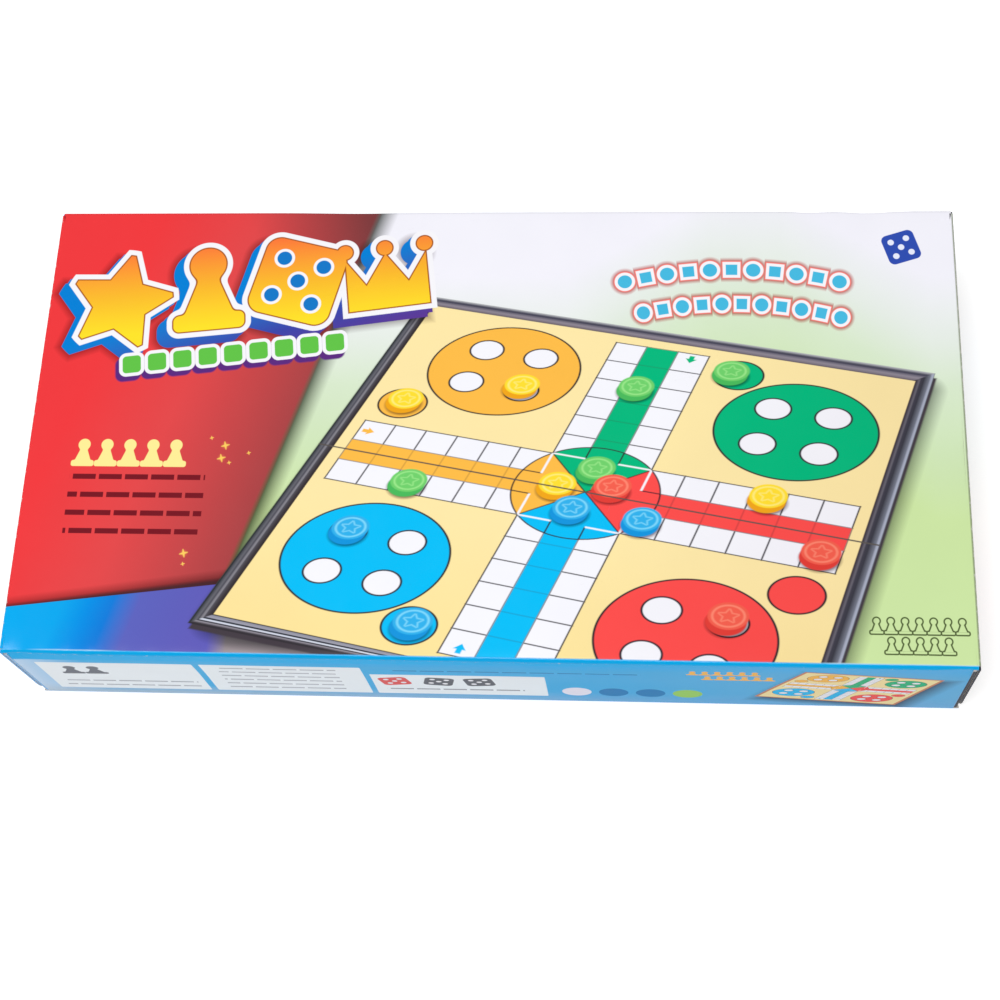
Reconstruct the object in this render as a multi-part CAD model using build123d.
"""Tuck-end carton with a folding ludo board case packed inside it.

The carton is one blank of printed board. Its top, front, bottom and back panels
and the glue tab make the sleeve, and each end has a cover that hangs from the top
panel, a tuck tongue on the cover's lower edge and two dust flaps behind it.
Inside lie the folded instructions and, on them, the closed board case: two plastic
shells hinged along the back, each with a printed play sheet on its outer face,
with the counters and the die stored between them.

Millimetres. The origin is the middle of the carton's underside, +X runs along its
length, +Y from the front panel to the back panel, and +Z is up.
"""
import os
from math import cos, pi, sin

from build123d import *

# ---- board case, closed ----
case_length = 250.0  # along the hinge line
case_depth = 125.0  # from the front wall to the hinge line
case_height = 38.0  # both shells together
case_corner = 5.0  # radius of the two front corners
hollow_corner = 3.0  # radius of the corners inside a shell
face_edge = 0.8  # rounding around each play face
shell_wall = 2.0
hinge_wall = 3.6  # thicker, to hold the knuckle pockets
shell_floor = 2.0
parting_gap = 0.2  # open line between the closed shells
rim_width = 9.0  # raised rim on three sides of each play face
rim_height = 1.0
groove_width = 1.2
groove_depth = 0.5
groove_insets = (2.2, 5.4)  # from the shell's outer face to each groove
rib_thickness = 1.2
rib_height = 2.0
rib_count = 5
notch_length = 28.0  # finger notch in the front wall, half in each shell
notch_height = 4.0
notch_depth = 0.9

# ---- case hinge ----
knuckle_radius = 2.5
knuckle_length = 9.0
knuckle_gap = 0.2  # between neighbouring knuckles
knuckle_clearance = 0.25  # around a knuckle, in the other shell's pocket
hinge_spacing = 150.0  # between the middles of the two hinges
pin_radius = 1.0
pin_clearance = 0.05

# ---- locating lugs on the lower shell ----
lug_length = 12.0
lug_thickness = 1.6
lug_rise = 3.0  # above the parting line
lug_root = 7.0  # below the parting line
lug_clearance = 0.2
lug_spacing = 130.0

# ---- play sheets ----
sheet_thickness = 0.4
sheet_clearance = 0.2  # around the sheet in its recess

# ---- counters and die ----
counter_diameter = 16.0
counter_thickness = 4.5
counter_edge = 0.6
counter_rim = 1.5  # width of the raised ring
counter_dish = 0.8  # depth inside the ring
star_height = 0.5
star_radius = 4.6
star_waist = 2.0
star_points = 5
counters_per_colour = 4
counter_gap = 0.1  # between stacked counters
counter_turn = 23.0  # degrees from one counter to the next in a stack
colour_names = ("red", "yellow", "green", "blue")
well_spacing = 52.0
well_clearance = 0.3
well_wall = 1.2
well_height = 8.0
die_size = 12.0
die_edge = 1.4
pip_radius = 1.3
pip_depth = 0.5
pip_spread = 3.0
die_offset = 34.0  # in front of the wells

# ---- carton ----
board = 0.5  # thickness of the printed board
fold_radius = 1.2  # outside radius of the four long folds
end_play = 1.5  # free way of the case to the dust flaps at each end
side_play = 1.5  # room in front of the case and behind its knuckles
head_room = 1.75  # above the case
crease_gap = 0.05  # open line beside a creased edge
flap_gap = 0.3  # between the dust flaps and the cover
seat_gap = 0.1  # between the instructions and the case's lower sheet
tongue_length = 12.0
tongue_corner = 8.0
tongue_side_gap = 0.7  # between the tongue and the glue tab or front panel
tongue_clearance = 0.2  # under the tongue at the lowest point of its swing
tongue_case_gap = 0.2  # between the tongue and the case above it
cover_side_gap = 0.25
cover_corner = 4.0
flap_width = 36.0
flap_corner = 3.0
flap_top_slope = 0.62  # fall of the flap's top edge away from its crease
flap_low_slope = 0.09  # rise of its lower edge
flap_top_gap = 0.3  # under the top fold
flap_low_gap = 0.45  # above the tongue
tab_height = 13.0
tab_taper = 4.0
tab_end_gap = 1.0  # between the glue tab and the dust flap's crease
back_edge = 0.3  # raw lower edge of the back panel, above the underside

# ---- folded instructions ----
leaflet_length = 120.0
leaflet_depth = 88.0
leaflet_layers = 4
leaflet_slit = 0.1

# ---- levels and planes that follow ----
half_board = board / 2
flap_plane = case_length / 2 + end_play + half_board
cover_plane = flap_plane + board + flap_gap
inner_depth = case_depth + knuckle_radius + 2 * side_play
carton_depth = inner_depth + 2 * board
front_crease_y = -(carton_depth / 2 - half_board)
tongue_swing = tongue_length**2 / (8 * case_height)  # its tip's dip as the cover lifts it
tongue_z = board + tongue_swing + tongue_clearance + board  # its crease, on its upper face
case_z = tongue_z + tongue_case_gap
carton_height = case_z + case_height + head_room + board
cover_z = carton_height - half_board
top_end = cover_plane - half_board - crease_gap
wall_end = flap_plane - half_board - crease_gap
bottom_end = cover_plane
hinge_y = -inner_depth / 2 + side_play + case_depth
parting = case_height / 2
sheet_face = case_z + rim_height - sheet_thickness
leaflet_thickness = sheet_face - seat_gap - board
shell_height = parting - parting_gap / 2
hollow_floor = rim_height + shell_floor
well_radius = counter_diameter / 2 + well_clearance
wells_y = -case_depth / 2


def slab(x, y, z):
    """A block between the low and high value given for each axis."""
    spans = (x, y, z)
    middle = [(low + high) / 2 for low, high in spans]
    return Pos(*middle) * Box(*[high - low for low, high in spans])


def mid_span(half):
    return (-half, half)


def rod(radius, length, x, y, z):
    """A cylinder along X with its middle at the given point."""
    return Pos(x, y, z) * Rot(0, 90, 0) * Cylinder(radius, length)


def corners_at(sketch, axis, last):
    """The two corners of a sketch at the low or high end of an axis."""
    return sketch.vertices().group_by(axis)[-1 if last else 0]


# ---- carton ----
def sleeve(half_length, height_span, y_span=None):
    """The part of the rounded sleeve wall between the given heights and depths."""
    middle = Pos(0, carton_height / 2)
    outside = middle * RectangleRounded(carton_depth, carton_height, fold_radius)
    inside = middle * RectangleRounded(inner_depth, carton_height - 2 * board, fold_radius - board)
    wall = extrude(Plane.YZ * (outside - inside), amount=half_length, both=True)
    return wall & slab(mid_span(half_length), y_span or mid_span(carton_depth), height_span)


def top_panel():
    """Flat top with the rounded fold along its front and back edges."""
    return sleeve(top_end, (carton_height - fold_radius, carton_height))


def front_panel():
    return sleeve(wall_end, (fold_radius, carton_height - fold_radius), (-carton_depth, 0))


def bottom_panel():
    """Flat bottom, with the front fold and, one board further in, the glue tab's fold."""
    tab_face = carton_depth / 2 - board
    front = sleeve(bottom_end, (0, fold_radius), (-carton_depth, 0))
    back = sleeve(bottom_end, (0, fold_radius), (board, carton_depth))
    kept = slab(mid_span(bottom_end), (-carton_depth, tab_face), (0, fold_radius))
    return (front + Pos(0, -board, 0) * back) & kept


def back_panel():
    y = (carton_depth / 2 - board, carton_depth / 2)
    return slab(mid_span(wall_end), y, (back_edge, carton_height - fold_radius))


def glue_tab():
    """Strip on the bottom panel, glued inside the back panel, with tapered ends."""
    root = wall_end - tab_end_gap
    tip = root - tab_taper
    outline = Polygon(
        (-root, fold_radius), (root, fold_radius), (tip, tab_height), (-tip, tab_height), align=None
    )
    plate = extrude(Plane.XZ * outline, amount=board)
    return Pos(0, carton_depth / 2 - board, 0) * plate


def middle_crease(reach):
    """Side view of a flap whose root is round about a crease in the middle of the board."""
    return Circle(half_board) + Pos(reach / 2, 0) * Rectangle(reach, board)


def inner_crease(reach):
    """Side view of a flap creased on its upper face, so that it folds up flat on its cover."""
    corner = Circle(board) & Pos(-half_board, -half_board) * Rectangle(board, board)
    return corner + Pos(reach / 2, -half_board) * Rectangle(reach, board)


def creased_flap(outline, side, ends):
    """A flap in its crease's plane: crease along X, flap along Y, cut to its outline."""
    low, high = ends
    strip = extrude(Plane.YZ * side, amount=high - low)
    return Pos(low, 0, 0) * strip & extrude(outline, amount=board, both=True)


def end_cover():
    """Right end cover, hung from the top panel's crease."""
    height = cover_z - tongue_z - crease_gap
    half_width = carton_depth / 2 - cover_side_gap
    outline = Pos(0, (height - half_board) / 2) * Rectangle(2 * half_width, height + half_board)
    outline = fillet(corners_at(outline, Axis.Y, False), fold_radius - cover_side_gap)
    outline = fillet(corners_at(outline, Axis.Y, True), cover_corner)
    crease = Plane(origin=(cover_plane, 0, cover_z), x_dir=(0, 1, 0), z_dir=(-1, 0, 0))
    return crease * creased_flap(outline, middle_crease(height), mid_span(half_width))


def tuck_tongue():
    """Right tongue, on the cover's lower crease, under the case."""
    half_width = carton_depth / 2 - 2 * board - tongue_side_gap
    outline = Pos(0, (tongue_length - board) / 2) * Rectangle(2 * half_width, tongue_length + board)
    outline = fillet(corners_at(outline, Axis.Y, True), tongue_corner)
    inner_face = cover_plane - half_board
    crease = Plane(origin=(inner_face, 0, tongue_z), x_dir=(0, 1, 0), z_dir=(0, 0, 1))
    return crease * creased_flap(outline, inner_crease(tongue_length), mid_span(half_width))


def dust_flap():
    """Right dust flap on the front panel's end, tapered towards its free edge."""
    low = tongue_z + flap_low_gap
    high = carton_height - fold_radius - flap_top_gap
    fall = flap_top_slope * flap_width
    rise = flap_low_slope * flap_width
    outline = Polygon(
        (low, -half_board), (high, -half_board), (high, 0),
        (high - fall, flap_width), (low + rise, flap_width), (low, 0), align=None,
    )
    outline = fillet(corners_at(outline, Axis.Y, True), flap_corner)
    crease = Plane(origin=(flap_plane, front_crease_y, 0), x_dir=(0, 0, 1), z_dir=(-1, 0, 0))
    return crease * creased_flap(outline, middle_crease(flap_width), (low, high))


def instructions():
    """A sheet folded in a concertina, lying flat in the middle of the bottom panel."""
    layer = (leaflet_thickness - (leaflet_layers - 1) * leaflet_slit) / leaflet_layers
    pack = slab(
        mid_span(leaflet_length / 2), mid_span(leaflet_depth / 2), (board, board + leaflet_thickness)
    )
    for fold in range(leaflet_layers - 1):
        low = board + layer * (fold + 1) + leaflet_slit * fold
        shift = layer if fold % 2 else -layer
        pack -= slab(
            mid_span(leaflet_length),
            (shift - leaflet_depth / 2, shift + leaflet_depth / 2),
            (low, low + leaflet_slit),
        )
    return pack


# ---- board case: each shell in its own frame, play face at Z 0, hinge line at Y 0 ----
def across_case(inset):
    return mid_span(case_length / 2 - inset)


def tray():
    """One shell's tray: walls, floor, ribs, and a play face recessed inside its rim."""
    block = slab(across_case(0), (-case_depth, 0), (0, shell_height))
    front_edges = block.edges().filter_by(Axis.Z).group_by(Axis.Y)[0]
    block = fillet(front_edges, case_corner)
    face_edges = block.faces().sort_by(Axis.Z)[0].edges() - block.edges().group_by(Axis.Y)[-1]
    block = fillet(face_edges, face_edge)
    hollow = slab(
        across_case(shell_wall), (shell_wall - case_depth, -hinge_wall), (hollow_floor, shell_height)
    )
    hollow = fillet(hollow.edges().filter_by(Axis.Z), hollow_corner)
    recess = slab(across_case(rim_width), (rim_width - case_depth, 0), (0, rim_height))
    block = block - hollow - recess
    for inset in groove_insets:
        block -= rim_groove(inset)
    for number in range(rib_count):
        block += cross_rib(number)
    return block


def rim_groove(inset):
    """A groove around three sides of the rim, open at the hinge line."""
    outer = slab(across_case(inset), (inset - case_depth, 0), (0, groove_depth))
    deep = inset + groove_width
    return outer - slab(across_case(deep), (deep - case_depth, 0), (0, groove_depth))


def cross_rib(number):
    """One of the ribs across a shell's floor, evenly spaced between its ends."""
    pitch = (case_length - 2 * shell_wall) / (rib_count + 1)
    middle = (number - (rib_count - 1) / 2) * pitch
    x = (middle - rib_thickness / 2, middle + rib_thickness / 2)
    return slab(x, (shell_wall - case_depth, -hinge_wall), (hollow_floor, hollow_floor + rib_height))


def knuckles(places, radius, length):
    """Barrels on the hinge line, at each place given in steps from each hinge's middle."""
    step = knuckle_length + knuckle_gap
    barrels = []
    for side in (-1, 1):
        for place in places:
            barrels.append(rod(radius, length, side * hinge_spacing / 2 + place * step, 0, parting))
    return barrels


def with_hinge(shell, own, other):
    """Adds a shell's own knuckles and cuts the other shell's pockets and the pin bores."""
    pocket = knuckle_length + 2 * knuckle_gap
    for barrel in knuckles(other, knuckle_radius + knuckle_clearance, pocket):
        shell -= barrel
    for barrel in knuckles(own, knuckle_radius, knuckle_length):
        shell += barrel
    for bore in knuckles((-1, 0, 1), pin_radius + pin_clearance, knuckle_length + 2 * knuckle_gap):
        shell -= bore
    return shell


def finger_notch():
    y = (-case_depth, notch_depth - case_depth)
    return slab(mid_span(notch_length / 2), y, (parting - notch_height, parting))


def counter_place(number):
    """Middle of a colour's well along X."""
    return (number - (len(colour_names) - 1) / 2) * well_spacing


def lower_shell():
    shell = tray()
    for number in range(len(colour_names)):
        base = Pos(counter_place(number), wells_y, hollow_floor + well_height / 2)
        shell += base * (Cylinder(well_radius + well_wall, well_height) - Cylinder(well_radius, well_height))
        shell -= Pos(counter_place(number), wells_y, hollow_floor + rib_height / 2) * Cylinder(
            well_radius, rib_height
        )
    shell = shell + die_pocket() - die_space()
    for side in (-1, 1):
        shell += locating_lug(side * lug_spacing / 2)
    shell -= finger_notch()
    return with_hinge(shell, own=(-1, 1), other=(0,))


def upper_shell():
    shell = with_hinge(tray() - finger_notch(), own=(0,), other=(-1, 1))
    return mirror(shell, about=Plane.XY.offset(parting))


def locating_lug(x):
    """A tongue inside the front wall that guides the upper shell as it closes."""
    wall_face = shell_wall - case_depth
    back = wall_face + lug_clearance + lug_thickness
    span = (x - lug_length / 2, x + lug_length / 2)
    root = slab(span, (wall_face, back), (parting - lug_root, shell_height))
    tip = slab(span, (wall_face + lug_clearance, back), (shell_height, parting + lug_rise))
    return root + tip


def die_spans(margin):
    half = die_size / 2 + margin
    return mid_span(half), (wells_y - die_offset - half, wells_y - die_offset + half)


def die_pocket():
    x, y = die_spans(well_clearance + well_wall)
    return slab(x, y, (hollow_floor, hollow_floor + die_size / 2))


def die_space():
    x, y = die_spans(well_clearance)
    return slab(x, y, (hollow_floor, hollow_floor + die_size / 2))


def play_sheet():
    """Printed sheet in the play face's recess, running out to the hinge line."""
    inset = rim_width + sheet_clearance
    y = (inset - case_depth, -sheet_clearance)
    return slab(across_case(inset), y, (rim_height - sheet_thickness, rim_height))


def hinge_pins():
    length = 3 * knuckle_length + 2 * knuckle_gap
    return Compound(
        children=[rod(pin_radius, length, side * hinge_spacing / 2, 0, parting) for side in (-1, 1)]
    )


def counter():
    """A round counter with a raised ring and a star in its dish, base at Z 0."""
    radius = counter_diameter / 2
    disc = Pos(0, 0, counter_thickness / 2) * Cylinder(radius, counter_thickness)
    disc = chamfer(disc.edges().filter_by(GeomType.CIRCLE), counter_edge)
    dish_floor = counter_thickness - counter_dish
    disc -= Pos(0, 0, dish_floor + counter_dish / 2) * Cylinder(radius - counter_rim, counter_dish)
    tips = []
    for step in range(2 * star_points):
        angle = pi / 2 + step * pi / star_points
        reach = star_waist if step % 2 else star_radius
        tips.append((reach * cos(angle), reach * sin(angle)))
    star = extrude(Polygon(*tips, align=None), amount=star_height)
    return disc + Pos(0, 0, dish_floor) * star


def counter_stack(number):
    """The counters of one colour, stacked in their well."""
    discs = []
    for level in range(counters_per_colour):
        rise = level * (counter_thickness + counter_gap)
        place = Pos(counter_place(number), wells_y, hollow_floor + rise)
        discs.append(place * Rot(0, 0, level * counter_turn) * counter())
    return Compound(children=discs)


def die():
    """A die with rounded edges and the usual pips, opposite faces adding to seven."""
    cube = fillet(Box(die_size, die_size, die_size).edges(), die_edge)
    near, far = -pip_spread, pip_spread
    corners = [(near, near), (far, far)]
    others = [(near, far), (far, near)]
    middles = [(near, 0), (far, 0)]
    layouts = {
        1: [(0, 0)],
        2: corners,
        3: corners + [(0, 0)],
        4: corners + others,
        5: corners + others + [(0, 0)],
        6: corners + others + middles,
    }
    turns = {1: (0, 0), 6: (180, 0), 2: (90, 0), 5: (-90, 0), 3: (0, 90), 4: (0, -90)}
    ball = (pip_radius**2 + pip_depth**2) / (2 * pip_depth)
    for value, (about_x, about_y) in turns.items():
        for u, v in layouts[value]:
            pip = Pos(u, v, die_size / 2 + ball - pip_depth) * Sphere(ball)
            cube -= Rot(about_x, about_y, 0) * pip
    return Pos(0, wells_y - die_offset, hollow_floor + die_size / 2) * cube


# ---- assembly ----
def in_carton(shape):
    """From the closed case's own frame to its place in the carton."""
    return Pos(0, hinge_y, case_z) * shape


def mirrored_ends(name, shape):
    """A right-hand end piece and its mirror image at the left end."""
    return {"right_" + name: shape, "left_" + name: mirror(shape, about=Plane.YZ)}


def all_nodes():
    flap = dust_flap()
    nodes = {
        "top_panel": top_panel(),
        "front_panel": front_panel(),
        "bottom_panel": bottom_panel(),
        "back_panel": back_panel(),
        "glue_tab": glue_tab(),
        "instruction_leaflet": instructions(),
        "case_lower_shell": in_carton(lower_shell()),
        "case_upper_shell": in_carton(upper_shell()),
        "case_hinge_pins": in_carton(hinge_pins()),
        "lower_play_sheet": in_carton(play_sheet()),
        "upper_play_sheet": in_carton(mirror(play_sheet(), about=Plane.XY.offset(parting))),
        "die": in_carton(die()),
    }
    nodes |= mirrored_ends("cover", end_cover())
    nodes |= mirrored_ends("tongue", tuck_tongue())
    nodes |= mirrored_ends("dust_flap_front", flap)
    nodes |= mirrored_ends("dust_flap_back", mirror(flap, about=Plane.XZ))
    for number, name in enumerate(colour_names):
        nodes["counters_" + name] = in_carton(counter_stack(number))
    return nodes


def main():
    os.makedirs("parts", exist_ok=True)
    for name, shape in all_nodes().items():
        export_step(shape, f"parts/{name}.step")


main()
